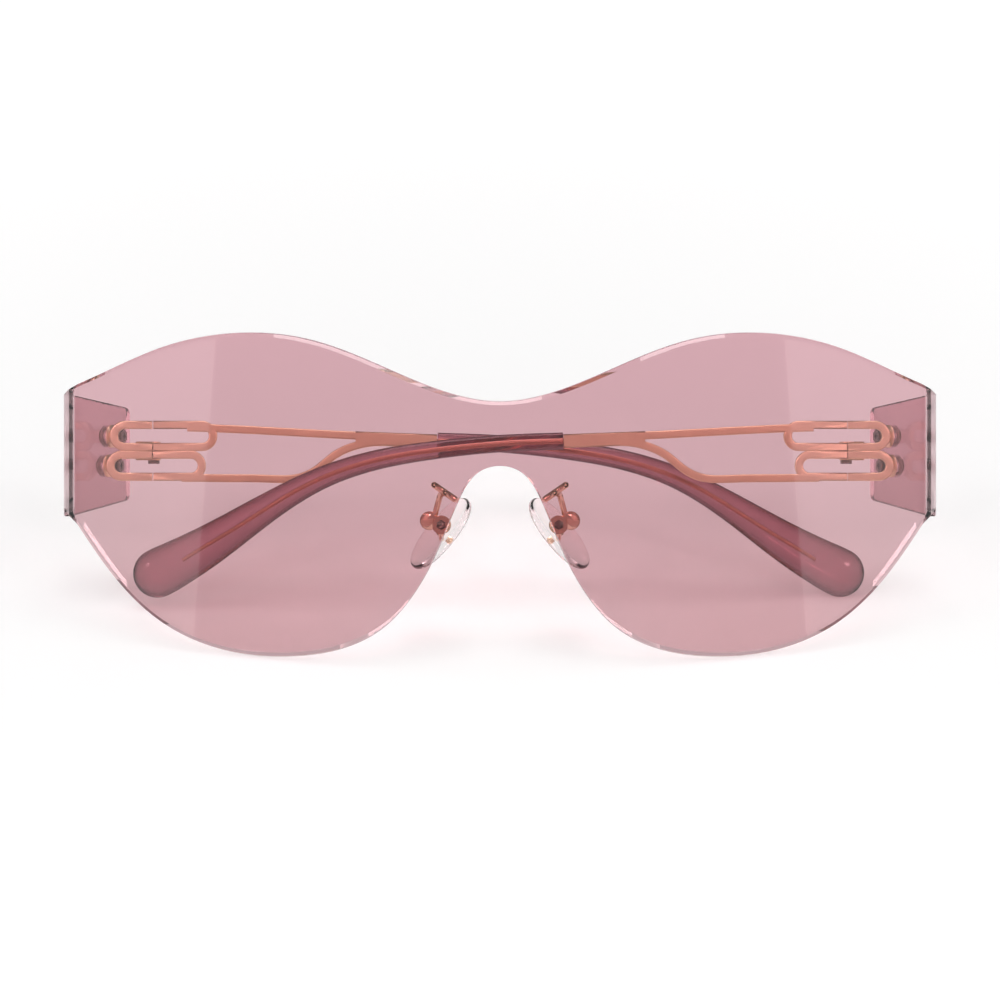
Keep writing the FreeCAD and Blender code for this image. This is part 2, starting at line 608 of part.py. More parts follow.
# Standing: lean back until the lens and the lower tip both touch the floor, then centre over the origin
def lowest(points, lean):
    return min(p.z * math.cos(lean) - p.y * math.sin(lean) for p in points)


lens_points = lens.tessellate(MESH_STEP)[0]
tips = [nodes[side_name + "_temple_tip"][0] for side_name in ("left", "right")]
tip_points = [p for tip in tips for p in tip.tessellate(MESH_STEP)[0]]
low, high = 0.0, math.pi / 4
for step in range(HALVINGS):
    lean = (low + high) / 2
    low, high = (lean, high) if lowest(tip_points, lean) > lowest(lens_points, lean) else (low, lean)
standing = Rotation(ACROSS, -math.degrees(lean))
every_solid = [solid for solids in nodes.values() for solid in solids]
every_point = [standing.multVec(p) for solid in every_solid for p in solid.tessellate(MESH_STEP)[0]]
depths = [p.y for p in every_point]
shift = Vector(0, -(min(depths) + max(depths)) / 2, -min(p.z for p in every_point))
stand = FreeCAD.Placement(shift, standing)

os.makedirs("parts", exist_ok=True)
for name, solids in nodes.items():
    shape = solids[0].copy() if len(solids) == 1 else Part.makeCompound(solids)
    shape.Placement = stand.multiply(shape.Placement)
    shape.exportStep("parts/" + name + ".step")


# Joint places in metres and their axes, for the record
def listed(vector, unit):
    return [round(value / unit, 6) for value in vector]


METRE = 1000
print("lean", round(math.degrees(lean), 3), "shift", [round(value, 4) for value in shift])
print("fold", round(fold_angle, 4))
for side_name, sign in (("left", -1), ("right", 1)):
    hinge_place = stand.multVec(Vector(sign * hinge_x, hinge_y, LOOP_MIDDLE))
    pad_place = stand.multVec(Vector(sign * screw_x, tongue_front, screw_z))
    print(side_name, "hinge", listed(hinge_place, METRE), listed(standing.multVec(UPWARD), 1))
    print(side_name, "pad", listed(pad_place, METRE), listed(standing.multVec(BACKWARD), 1))
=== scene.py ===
import json
import math

import bmesh
import bpy
import numpy as np
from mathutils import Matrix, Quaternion, Vector

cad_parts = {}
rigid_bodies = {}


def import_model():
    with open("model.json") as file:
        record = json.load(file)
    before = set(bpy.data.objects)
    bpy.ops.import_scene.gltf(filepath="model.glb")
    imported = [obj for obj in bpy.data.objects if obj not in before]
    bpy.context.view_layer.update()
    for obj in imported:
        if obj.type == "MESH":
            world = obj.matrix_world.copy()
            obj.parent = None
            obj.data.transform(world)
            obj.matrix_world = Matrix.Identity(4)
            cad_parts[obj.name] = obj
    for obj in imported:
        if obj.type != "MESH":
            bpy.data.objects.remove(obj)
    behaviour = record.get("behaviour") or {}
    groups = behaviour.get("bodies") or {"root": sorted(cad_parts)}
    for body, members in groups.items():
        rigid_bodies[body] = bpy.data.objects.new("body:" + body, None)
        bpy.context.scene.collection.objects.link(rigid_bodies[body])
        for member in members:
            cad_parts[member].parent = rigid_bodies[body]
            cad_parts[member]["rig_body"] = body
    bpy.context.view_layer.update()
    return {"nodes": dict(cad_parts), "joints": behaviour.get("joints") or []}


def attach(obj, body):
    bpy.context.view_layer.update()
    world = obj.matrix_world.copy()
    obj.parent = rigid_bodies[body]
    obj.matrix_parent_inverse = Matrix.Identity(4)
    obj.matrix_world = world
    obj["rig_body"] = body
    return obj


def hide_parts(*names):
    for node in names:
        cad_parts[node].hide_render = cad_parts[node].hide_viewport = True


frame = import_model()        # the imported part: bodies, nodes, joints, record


# Shield lens. One sheet of pink-tinted nylon, cut to the mask outline with a polished bevel and bent back
# at both sides into short wings. It is drawn flat along its own width, then rolled onto the curve.
LENS_HALF_WIDTH = 75.0
LENS_THICKNESS = 2.0
LENS_RADIUS = 200.0
LENS_BEVEL = 0.75
LENS_ARRIS = 0.14
BRIDGE_TOP, NOSE_TOP = 16.6, 5.7
CORNER_ACROSS, CORNER_TOP, CORNER_BOTTOM = 72.8, 19.95, -4.2
BROW_LINE = [(20.1, 22.6), (33.6, 27.4), (42.2, 28.35), (57.7, 26.1), (68.6, 21.7),
             (CORNER_ACROSS, CORNER_TOP)]
CHEEK_LINE = [(3.5, 4.7), (6.8, 0.2), (11.0, -9.6), (14.25, -15.4), (20.1, -21.8), (26.9, -25.1),
              (35.4, -26.4), (43.9, -26.0), (50.8, -24.3), (57.7, -20.9), (63.7, -15.9),
              (CORNER_ACROSS, CORNER_BOTTOM)]
BROW_STEPS, CHEEK_STEPS = 1201, 1601
FRONT_COLUMNS, BEND_COLUMNS, WING_COLUMNS, CORNER_COLUMNS = 190, 30, 26, 9
FACE_ROWS = 22
NOSE_BLEND = (13.0, 24.0)
BEVEL_CORE = 0.8
EDGE_STEEP = 3.7
STEEPEST_TOP, STEEPEST_BOTTOM = 2.2, 2.6
SHOULDER_STEP = (1.75, 2.8)
BEND_STEP = (1.95, 1.5)
BEND_INSIDE = 0.6
WING_TOE_IN = math.radians(20)
WING_LENGTH = 21.7
WING_CORNER = 0.9
WING_TOP = (18.0, 16.3)
WING_BOTTOM = -2.7
LOOP_MIDDLE = 8.58
LOOP_PITCH = 5.2
BOSS_ALONG = (14.0, 12.9)
HOLE_RADIUS = 0.00127
DRILL_LENGTH = 0.006
HINGE_POINT = Vector((60.4, 27.9, LOOP_MIDDLE))
# Angles along the bend: a dark line of painted shade lies between them, and the frosted, painted lighter
# strip lies after them
BEND_LINE = (math.radians(-74), math.radians(-55))
LENS_TINT = (0.70, 0.42, 0.465)
# Darker, as painted shade, at the bottom of the lens
LENS_TINT_PAINTED_SHADE_LOW = (0.59, 0.405, 0.425)
# Near-black laid on the cut edges and the bend line as painted shade; the shares below say how much
PAINTED_SHADE_DARK = (0.04, 0.024, 0.025)
EDGE_SHADE = 0.45
WING_EDGE_SHADE = 0.2
BEND_FROST = 0.38
# Lighter colour on the frosted strip of the bend: painted light
BEND_PAINTED_LIGHT = (0.96, 0.88, 0.885)
SHADE_FADE_TOP = 0.05
LENS_SHADOW = (0.91, 0.885, 0.89)

fold_joint = next(j for j in frame["joints"] if j["name"] == "left_temple_fold")
lean = math.atan2(fold_joint["axis"][1], fold_joint["axis"][2])
lean_back = Quaternion((1, 0, 0), -lean).to_matrix()
left_hinge = Vector((-HINGE_POINT.x, HINGE_POINT.y, HINGE_POINT.z))
lean_shift = Vector(fold_joint["pos_m"]) * 1000 - lean_back @ left_hinge


def standing(points):
    # From the upright drawing in millimetres to the leaning part in metres
    return (np.asarray(points, float) @ np.array(lean_back).T + np.array(lean_shift)) / 1000


def smooth_line(stations, steps):
    # A natural cubic spline through the stations, spaced by chord length
    knots = np.asarray(stations, float)
    chord = np.concatenate([[0], np.cumsum(np.linalg.norm(np.diff(knots, axis=0), axis=1))])
    gap = np.diff(chord)
    rows = len(knots)
    system = np.eye(rows)
    right_side = np.zeros_like(knots)
    for k in range(1, rows - 1):
        system[k, k - 1:k + 2] = gap[k - 1], 2 * (gap[k - 1] + gap[k]), gap[k]
        right_side[k] = 6 * ((knots[k + 1] - knots[k]) / gap[k] - (knots[k] - knots[k - 1]) / gap[k - 1])
    curve = np.linalg.solve(system, right_side)
    at = np.linspace(0, chord[-1], steps)
    span = np.clip(np.searchsorted(chord, at, side="right") - 1, 0, rows - 2)
    before = ((at - chord[span]) / gap[span])[:, None]
    after = 1 - before
    width = (gap[span] ** 2 / 6)[:, None]
    return (after * knots[span] + before * knots[span + 1]
            + width * ((after ** 3 - after) * curve[span] + (before ** 3 - before) * curve[span + 1]))


def mirror_line(half, middle):
    return [(-x, z) for x, z in reversed(half)] + [(0.0, middle)] + half


def ring_faces(rings, size):
    # Quads between each ring of points and the next
    return [(r * size + k, r * size + (k + 1) % size, (r + 1) * size + (k + 1) % size, (r + 1) * size + k)
            for r in range(rings - 1) for k in range(size)]


def piece_from(name, points, faces, **marks):
    # A closed mesh piece; each mark is a value kept on every point
    mesh = bpy.data.meshes.new(name)
    mesh.from_pydata([tuple(p) for p in points], [], faces)
    for label, values in marks.items():
        mesh.attributes.new(label, "FLOAT", "POINT").data.foreach_set("value", values)
    shell = bmesh.new()
    shell.from_mesh(mesh)
    bmesh.ops.remove_doubles(shell, verts=shell.verts, dist=1e-7)
    bmesh.ops.recalc_face_normals(shell, faces=shell.faces)
    shell.to_mesh(mesh)
    shell.free()
    piece = bpy.data.objects.new(name, mesh)
    bpy.context.scene.collection.objects.link(piece)
    return piece


def polish(piece, angle):
    piece.data.shade_smooth()
    piece.data.set_sharp_from_angle(angle=math.radians(angle))


brow = smooth_line(mirror_line(BROW_LINE, BRIDGE_TOP), BROW_STEPS)
cheek = smooth_line(mirror_line(CHEEK_LINE, NOSE_TOP), CHEEK_STEPS)

bend_radius = LENS_THICKNESS + BEND_INSIDE
front_turn = math.asin((LENS_HALF_WIDTH - bend_radius) / (LENS_RADIUS - bend_radius))
bend_middle = np.array([(LENS_RADIUS - bend_radius) * math.sin(front_turn),
                        LENS_RADIUS - (LENS_RADIUS - bend_radius) * math.cos(front_turn)])
wing_out = np.array([math.cos(WING_TOE_IN), math.sin(WING_TOE_IN)])
wing_along = np.array([-wing_out[1], wing_out[0]])
bend_start_y = LENS_RADIUS - (LENS_RADIUS - LENS_THICKNESS) * math.cos(front_turn)

# Each column of the sheet is its place in plan and the way into the sheet, with two marks for the outside of
# the bend:
# a dark line of painted shade, and a frosted strip beyond it that is also painted lighter as painted light
columns = []
for angle in np.linspace(0, front_turn, FRONT_COLUMNS, endpoint=False):
    place = np.array([LENS_RADIUS * math.sin(angle), LENS_RADIUS * (1 - math.cos(angle))])
    columns.append((place, np.array([-math.sin(angle), math.cos(angle)]), 0.0, 0.0))
for angle in np.linspace(front_turn - math.pi / 2, WING_TOE_IN, BEND_COLUMNS, endpoint=False):
    out = np.array([math.cos(angle), math.sin(angle)])
    shaded = BEND_LINE[0] < angle < BEND_LINE[1]
    columns.append((bend_middle + out * bend_radius, -out, float(shaded), float(angle > BEND_LINE[1])))
corner_turns = np.linspace(0, math.pi / 2, CORNER_COLUMNS)
wing_steps = np.concatenate([np.linspace(0, WING_LENGTH - WING_CORNER, WING_COLUMNS, endpoint=False),
                             WING_LENGTH - WING_CORNER * (1 - np.sin(corner_turns))])
for step in wing_steps:
    columns.append((bend_middle + wing_out * bend_radius + wing_along * step, -wing_out, 0.0, 0.0))


def column_heights(index):
    # Top and bottom of the sheet there, and how much of the bevel it has
    x, y = columns[index][0]
    if x <= CORNER_ACROSS and y < bend_start_y:
        return np.interp(x, brow[:, 0], brow[:, 1]), np.interp(x, cheek[:, 0], cheek[:, 1]), 1.0
    if y < bend_middle[1]:
        shoulder = np.clip((x - CORNER_ACROSS) / (LENS_HALF_WIDTH - CORNER_ACROSS), 0, 1)
        round_bend = np.clip((y - bend_start_y) / (bend_middle[1] - bend_start_y), 0, 1)
        top = min(CORNER_TOP - SHOULDER_STEP[0] * shoulder, CORNER_TOP - BEND_STEP[0] * round_bend)
        bottom = max(CORNER_BOTTOM + SHOULDER_STEP[1] * shoulder, CORNER_BOTTOM + BEND_STEP[1] * round_bend)
        return top, bottom, max(0.0, 1 - 2 * shoulder)
    share = np.dot(columns[index][0] - bend_middle - wing_out * bend_radius, wing_along) / WING_LENGTH
    top = WING_TOP[0] + (WING_TOP[1] - WING_TOP[0]) * share
    bottom = WING_BOTTOM * (1 - share)
    short = WING_CORNER - (1 - share) * WING_LENGTH
    if short > 0:
        drop = WING_CORNER - math.sqrt(max(0.0, WING_CORNER ** 2 - short ** 2))
        top, bottom = top - drop, bottom + drop
    return top, bottom, 0.0


heights = np.array([column_heights(k) for k in range(len(columns))])
spacing = np.concatenate([[0], np.cumsum([np.linalg.norm(columns[k + 1][0] - columns[k][0])
                                          for k in range(len(columns) - 1)])])
ring_points, ring_shade, ring_frost = [], [], []
for side in (-1, 1):
    for k in (range(len(columns) - 1, 0, -1) if side < 0 else range(len(columns))):
        place, inward, shade, frost = columns[k]
        top, bottom, bevelled = heights[k]
        bevel = LENS_ARRIS + (LENS_BEVEL - LENS_ARRIS) * bevelled
        # The bevel runs out along the nose
        nose = np.clip((place[0] - NOSE_BLEND[0]) / (NOSE_BLEND[1] - NOSE_BLEND[0]), 0, 1)
        low_bevel = LENS_ARRIS + (bevel - LENS_ARRIS) * nose * nose * (3 - 2 * nose)
        near = [max(k - 1, 0), min(k + 1, len(columns) - 1)]
        run = max(spacing[near[1]] - spacing[near[0]], 1e-6)
        lift_top = min(STEEPEST_TOP, math.hypot(1, (heights[near[1]][0] - heights[near[0]][0]) / run))
        lift_bottom = min(STEEPEST_BOTTOM, math.hypot(1, (heights[near[1]][1] - heights[near[0]][1]) / run))
        outer = [(0.0, z) for z in np.linspace(bottom + low_bevel * lift_bottom,
                                               top - bevel * lift_top, FACE_ROWS)]
        inner = [(LENS_THICKNESS, z) for z in np.linspace(top - LENS_ARRIS * lift_top,
                                                          bottom + LENS_ARRIS * lift_bottom, FACE_ROWS)]
        # The bevel turns steeper in its last part, which reads as a thin dark outline
        rest, low_rest = (1 - BEVEL_CORE) * bevel, (1 - BEVEL_CORE) * low_bevel
        section = (outer + [(bevel - rest, top - rest * lift_top), (bevel - rest + EDGE_STEEP * rest, top),
                            (LENS_THICKNESS - LENS_ARRIS, top)]
                   + inner + [(LENS_THICKNESS - LENS_ARRIS, bottom),
                              (low_bevel - low_rest + EDGE_STEEP * low_rest, bottom),
                              (low_bevel - low_rest, bottom + low_rest * lift_bottom)])
        for depth, z in section:
            plan = place + inward * depth
            ring_points.append((side * plan[0], plan[1], z))
        # The cut edge is painted darker than the faces, most of all round the front: painted shade, a dark
        # outline
        cut_shade = EDGE_SHADE if bevelled > 0 else WING_EDGE_SHADE
        edge = [shade, cut_shade, cut_shade]
        ring_shade += [shade] * FACE_ROWS + edge + [0.0] * FACE_ROWS + edge[::-1]
        ring_frost += [frost] * FACE_ROWS + [frost, 0.0, 0.0] + [0.0] * FACE_ROWS + [0.0, 0.0, frost]
RING = 2 * FACE_ROWS + 6
ring_count = len(ring_points) // RING
lens_faces = ring_faces(ring_count, RING)
lens_faces += [tuple(range(RING)), tuple(range((ring_count - 1) * RING, ring_count * RING))]
lens = piece_from("tinted_lens", standing(ring_points), lens_faces, shade=ring_shade, frost=ring_frost)

# The four drilled holes for the lens screws
boss_seats = []
for side in (-1, 1):
    for height, along in zip((LOOP_MIDDLE + LOOP_PITCH / 2, LOOP_MIDDLE - LOOP_PITCH / 2), BOSS_ALONG):
        plan = bend_middle + wing_out * BEND_INSIDE + wing_along * along
        boss_seats.append((Vector((side * plan[0], plan[1], height)),
                           Vector((side * wing_out[0], wing_out[1], 0))))
drill = bmesh.new()
for seat, outward in boss_seats:
    centre = standing([seat + outward * LENS_THICKNESS / 2])[0]
    way = lean_back @ outward
    turned = way.to_track_quat("Z", "Y").to_matrix().to_4x4()
    turned.translation = centre
    bmesh.ops.create_cone(drill, cap_ends=True, segments=32, radius1=HOLE_RADIUS, radius2=HOLE_RADIUS,
                          depth=DRILL_LENGTH, matrix=turned)
drill_mesh = bpy.data.meshes.new("drill")
drill.to_mesh(drill_mesh)
drill.free()
drill_object = bpy.data.objects.new("drill", drill_mesh)
bpy.context.scene.collection.objects.link(drill_object)
cut = lens.modifiers.new("screw_holes", "BOOLEAN")
cut.object = drill_object
cut.operation = "DIFFERENCE"
cut.solver = "EXACT"
drilled = bpy.data.meshes.new_from_object(lens.evaluated_get(bpy.context.evaluated_depsgraph_get()))
lens.modifiers.clear()
lens.data = drilled
bpy.data.objects.remove(drill_object)
polish(lens, angle=28)


def surface_group(name, inputs, outputs):
    group = bpy.data.node_groups.new(name, "ShaderNodeTree")
    for label, kind, value in inputs:
        socket = group.interface.new_socket(name=label, in_out="INPUT", socket_type=kind)
        socket.default_value = value
    for label, kind in outputs:
        group.interface.new_socket(name=label, in_out="OUTPUT", socket_type=kind)
    return group, group.nodes.new("NodeGroupInput"), group.nodes.new("NodeGroupOutput")


def math_node(tree, operation):
    node = tree.nodes.new("ShaderNodeMath")
    node.operation = operation
    return node


# Handling marks: faint cloudy smears and hairlines, as on any polished thing that has been wiped
handling, handling_in, handling_out = surface_group(
    "handling_marks",
    [("Base Roughness", "NodeSocketFloat", 0.05), ("Smear", "NodeSocketFloat", 0.03),
     ("Scale", "NodeSocketFloat", 120.0)],
    [("Roughness", "NodeSocketFloat"), ("Height", "NodeSocketFloat")])
place = handling.nodes.new("ShaderNodeTexCoord")
cloud = handling.nodes.new("ShaderNodeTexNoise")
cloud.inputs["Detail"].default_value = 3
hair = handling.nodes.new("ShaderNodeTexNoise")
hair.inputs["Scale"].default_value = 2600
hair.inputs["Detail"].default_value = 2
smear = math_node(handling, "MULTIPLY")
total = math_node(handling, "ADD")
handling.links.new(place.outputs["Object"], cloud.inputs["Vector"])
handling.links.new(place.outputs["Object"], hair.inputs["Vector"])
handling.links.new(handling_in.outputs["Scale"], cloud.inputs["Scale"])
handling.links.new(cloud.outputs["Fac"], smear.inputs[0])
handling.links.new(handling_in.outputs["Smear"], smear.inputs[1])
handling.links.new(smear.outputs[0], total.inputs[0])
handling.links.new(handling_in.outputs["Base Roughness"], total.inputs[1])
handling.links.new(total.outputs[0], handling_out.inputs["Roughness"])
handling.links.new(hair.outputs["Fac"], handling_out.inputs["Height"])


def new_material(name):
    material = bpy.data.materials.new(name)
    material.use_nodes = True
    tree = material.node_tree
    return material, tree, tree.nodes["Principled BSDF"], tree.nodes["Material Output"]


def colour_mix(tree, first, second):
    mix = tree.nodes.new("ShaderNodeMix")
    mix.data_type = "RGBA"
    for label, colour in (("A", first), ("B", second)):
        if colour:
            mix.inputs[label].default_value = (*colour, 1)
    return mix


def wiped(tree, shader, roughness, smear):
    # Polished, with the handling marks in its gloss
    marks = tree.nodes.new("ShaderNodeGroup")
    marks.node_tree = handling
    marks.inputs["Base Roughness"].default_value = roughness
    marks.inputs["Smear"].default_value = smear
    tree.links.new(marks.outputs["Roughness"], shader.inputs["Roughness"])
    return marks


def let_light_through(tree, shader, output, colour):
    # Shadow rays pass through, tinted, so the piece throws a coloured shadow
    rays = tree.nodes.new("ShaderNodeLightPath")
    clear = tree.nodes.new("ShaderNodeBsdfTransparent")
    clear.inputs["Color"].default_value = (*colour, 1)
    mix = tree.nodes.new("ShaderNodeMixShader")
    tree.links.new(rays.outputs["Is Shadow Ray"], mix.inputs["Fac"])
    tree.links.new(shader.outputs[0], mix.inputs[1])
    tree.links.new(clear.outputs[0], mix.inputs[2])
    tree.links.new(mix.outputs[0], output.inputs["Surface"])


def shade_by_height(tree, low_colour, high_colour, low, high):
    # Painted shade: the colour goes from the low colour at the bottom to the high colour further up the piece
    where = tree.nodes.new("ShaderNodeTexCoord")
    split = tree.nodes.new("ShaderNodeSeparateXYZ")
    share = tree.nodes.new("ShaderNodeMapRange")
    share.inputs["From Min"].default_value = low
    share.inputs["From Max"].default_value = high
    mix = colour_mix(tree, low_colour, high_colour)
    tree.links.new(where.outputs["Object"], split.inputs[0])
    tree.links.new(split.outputs["Z"], share.inputs["Value"])
    tree.links.new(share.outputs["Result"], mix.inputs["Factor"])
    return mix.outputs["Result"]


lens_material, tree, shader, output = new_material("tinted_nylon")
# The frosted strip past the bend line is rougher, and also painted lighter as painted light
bend_frost = tree.nodes.new("ShaderNodeAttribute")
bend_frost.attribute_name = "frost"
bend_light_paint = colour_mix(tree, None, BEND_PAINTED_LIGHT)
tree.links.new(bend_frost.outputs["Fac"], bend_light_paint.inputs["Factor"])
# The lens is painted darker towards the bottom as painted shade
tree.links.new(shade_by_height(tree, LENS_TINT_PAINTED_SHADE_LOW, LENS_TINT, 0.0, SHADE_FADE_TOP), bend_light_paint.inputs["A"])
# Painted shade: the cut edges and the bend line are darkened towards near-black
edge_shade = tree.nodes.new("ShaderNodeAttribute")
edge_shade.attribute_name = "shade"
painted_shade_mix = colour_mix(tree, None, PAINTED_SHADE_DARK)
tree.links.new(edge_shade.outputs["Fac"], painted_shade_mix.inputs["Factor"])
tree.links.new(bend_light_paint.outputs["Result"], painted_shade_mix.inputs["A"])
tree.links.new(painted_shade_mix.outputs["Result"], shader.inputs["Base Color"])
shader.inputs["Transmission Weight"].default_value = 1.0
shader.inputs["IOR"].default_value = 1.5
frosted = math_node(tree, "MULTIPLY")
frosted.inputs[1].default_value = BEND_FROST
tree.links.new(bend_frost.outputs["Fac"], frosted.inputs[0])
marks = wiped(tree, shader, roughness=0.0, smear=0.012)
tree.links.new(frosted.outputs[0], marks.inputs["Base Roughness"])
let_light_through(tree, shader, output, LENS_SHADOW)
lens.data.materials.clear()
lens.data.materials.append(lens_material)
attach(lens, "front")
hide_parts("shield_lens")


# End pieces. The outer halves of the two stacked loops, stamped from plate, with a round boss behind
# each loop that sits on the wing and two hinge knuckles. Gold-plated and polished.
GOLD = (0.93, 0.755, 0.515)
GOLD_WARM = (0.86, 0.665, 0.435)

plating, plating_in, plating_out = surface_group(
    "plating",
    [("Colour", "NodeSocketColor", (*GOLD, 1)), ("Deep Colour", "NodeSocketColor", (*GOLD_WARM, 1)),
     ("Scale", "NodeSocketFloat", 260.0)],
    [("Colour", "NodeSocketColor")])
place = plating.nodes.new("ShaderNodeTexCoord")
stretch = plating.nodes.new("ShaderNodeMapping")
stretch.inputs["Scale"].default_value = (0.15, 1, 1)
grain = plating.nodes.new("ShaderNodeTexNoise")
grain.inputs["Detail"].default_value = 4
tone = colour_mix(plating, None, None)
plating.links.new(place.outputs["Object"], stretch.inputs["Vector"])
plating.links.new(stretch.outputs["Vector"], grain.inputs["Vector"])
plating.links.new(plating_in.outputs["Scale"], grain.inputs["Scale"])
plating.links.new(grain.outputs["Fac"], tone.inputs["Factor"])
plating.links.new(plating_in.outputs["Colour"], tone.inputs["A"])
plating.links.new(plating_in.outputs["Deep Colour"], tone.inputs["B"])
plating.links.new(tone.outputs["Result"], plating_out.inputs["Colour"])


def plated(name, colour, deep_colour, roughness, smear):
    material, tree, shader, output = new_material(name)
    metal = tree.nodes.new("ShaderNodeGroup")
    metal.node_tree = plating
    metal.inputs["Colour"].default_value = (*colour, 1)
    metal.inputs["Deep Colour"].default_value = (*deep_colour, 1)
    marks = wiped(tree, shader, roughness, smear)
    marks.inputs["Scale"].default_value = 400
    bump = tree.nodes.new("ShaderNodeBump")
    bump.inputs["Strength"].default_value = 0.06
    bump.inputs["Distance"].default_value = 0.00002
    shader.inputs["Metallic"].default_value = 1.0
    tree.links.new(metal.outputs["Colour"], shader.inputs["Base Color"])
    tree.links.new(marks.outputs["Height"], bump.inputs["Height"])
    tree.links.new(bump.outputs["Normal"], shader.inputs["Normal"])
    return material


def finished_copy(node, material, angle):
    # The modelled solid with its facets joined and smoothed, in place of the plain one
    source = frame["nodes"][node]
    shell = bmesh.new()
    shell.from_mesh(source.data)
    bmesh.ops.remove_doubles(shell, verts=shell.verts, dist=1e-6)
    mesh = bpy.data.meshes.new(node + "_finished")
    shell.to_mesh(mesh)
    shell.free()
    piece = bpy.data.objects.new(node + "_finished", mesh)
    bpy.context.scene.collection.objects.link(piece)
    polish(piece, angle)
    # Large flat faces keep their own direction right up to their rounded edges
    flatten = piece.modifiers.new("flat_faces", "WEIGHTED_NORMAL")
    flatten.keep_sharp = True
    flatten.weight = 100
    flat = bpy.data.meshes.new_from_object(piece.evaluated_get(bpy.context.evaluated_depsgraph_get()))
    piece.modifiers.clear()
    piece.data = flat
    piece.data.materials.clear()
    piece.data.materials.append(material)
    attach(piece, source["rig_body"])
    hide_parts(node)
    return piece


gold_plate = plated("gold_plate", GOLD, GOLD_WARM, roughness=0.27, smear=0.10)
for side in ("left", "right"):
    finished_copy(side + "_end_piece", gold_plate, angle=32)


# Lens screws. Small domed screws that clamp the wing to the bosses, with a crossed slot in their inner ends.
# One drawing of the screw is set at each of the four drilled holes; steel, plated, and coloured a dark bronze
# that is painted shade over the frame's gold.
# A dark copy of the gold plating: painted shade
SHADED_GOLD = (0.30, 0.20, 0.17)
SHADED_GOLD_DEEP = (0.16, 0.10, 0.09)
shaded_gold_paint = plated("shaded_gold_paint", SHADED_GOLD, SHADED_GOLD_DEEP, roughness=0.22, smear=0.12)

screw_tree = bpy.data.node_groups.new("lens_screw", "GeometryNodeTree")
screw_tree.interface.new_socket(name="Seats", in_out="INPUT", socket_type="NodeSocketGeometry")
for label, size in (("Shank Radius", 0.00075), ("Shank Length", 0.00503), ("Shank Offset", -0.000175),
                    ("Head Radius", 0.0016), ("Head Height", 0.0009), ("Slot Width", 0.00032)):
    screw_size = screw_tree.interface.new_socket(name=label, in_out="INPUT", socket_type="NodeSocketFloat")
    screw_size.default_value = size
screw_tree.interface.new_socket(name="Finish", in_out="INPUT", socket_type="NodeSocketMaterial")
screw_tree.interface.new_socket(name="Screws", in_out="OUTPUT", socket_type="NodeSocketGeometry")


def screw_node(kind, **settings):
    node = screw_tree.nodes.new(kind)
    for key, value in settings.items():
        setattr(node, key, value)
    return node


def screw_link(start, end):
    screw_tree.links.new(start, end)


screw_in = screw_node("NodeGroupInput")
screw_out = screw_node("NodeGroupOutput")
shank = screw_node("GeometryNodeMeshCylinder")
shank.inputs["Vertices"].default_value = 24
screw_link(screw_in.outputs["Shank Radius"], shank.inputs["Radius"])
screw_link(screw_in.outputs["Shank Length"], shank.inputs["Depth"])
shank_end = screw_node("ShaderNodeMath", operation="MULTIPLY")
shank_end.inputs[1].default_value = -0.5
screw_link(screw_in.outputs["Shank Length"], shank_end.inputs[0])
slot_place = screw_node("ShaderNodeCombineXYZ")
screw_link(shank_end.outputs[0], slot_place.inputs["Z"])
slot_length = screw_node("ShaderNodeMath", operation="MULTIPLY")
slot_length.inputs[1].default_value = 1.5
screw_link(screw_in.outputs["Shank Radius"], slot_length.inputs[0])
slot_depth = screw_node("ShaderNodeMath", operation="MULTIPLY")
slot_depth.inputs[1].default_value = 2.2
screw_link(screw_in.outputs["Slot Width"], slot_depth.inputs[0])
crossed = screw_node("GeometryNodeMeshBoolean", operation="DIFFERENCE")
screw_link(shank.outputs["Mesh"], crossed.inputs["Mesh 1"])
for first, second in (("X", "Y"), ("Y", "X")):
    size = screw_node("ShaderNodeCombineXYZ")
    screw_link(slot_length.outputs[0], size.inputs[first])
    screw_link(screw_in.outputs["Slot Width"], size.inputs[second])
    screw_link(slot_depth.outputs[0], size.inputs["Z"])
    bar = screw_node("GeometryNodeMeshCube")
    screw_link(size.outputs[0], bar.inputs["Size"])
    put = screw_node("GeometryNodeTransform")
    screw_link(bar.outputs["Mesh"], put.inputs["Geometry"])
    screw_link(slot_place.outputs[0], put.inputs["Translation"])
    screw_link(put.outputs["Geometry"], crossed.inputs["Mesh 2"])
ball = screw_node("GeometryNodeMeshUVSphere")
ball.inputs["Segments"].default_value = 32
ball.inputs["Rings"].default_value = 16
ball.inputs["Radius"].default_value = 1.0
dome_size = screw_node("ShaderNodeCombineXYZ")
screw_link(screw_in.outputs["Head Radius"], dome_size.inputs["X"])
screw_link(screw_in.outputs["Head Radius"], dome_size.inputs["Y"])
screw_link(screw_in.outputs["Head Height"], dome_size.inputs["Z"])
half_length = screw_node("ShaderNodeMath", operation="MULTIPLY")
half_length.inputs[1].default_value = 0.5
screw_link(screw_in.outputs["Shank Length"], half_length.inputs[0])
dome_place = screw_node("ShaderNodeCombineXYZ")
screw_link(half_length.outputs[0], dome_place.inputs["Z"])
dome = screw_node("GeometryNodeTransform")
screw_link(ball.outputs["Mesh"], dome.inputs["Geometry"])
screw_link(dome_size.outputs[0], dome.inputs["Scale"])
screw_link(dome_place.outputs[0], dome.inputs["Translation"])
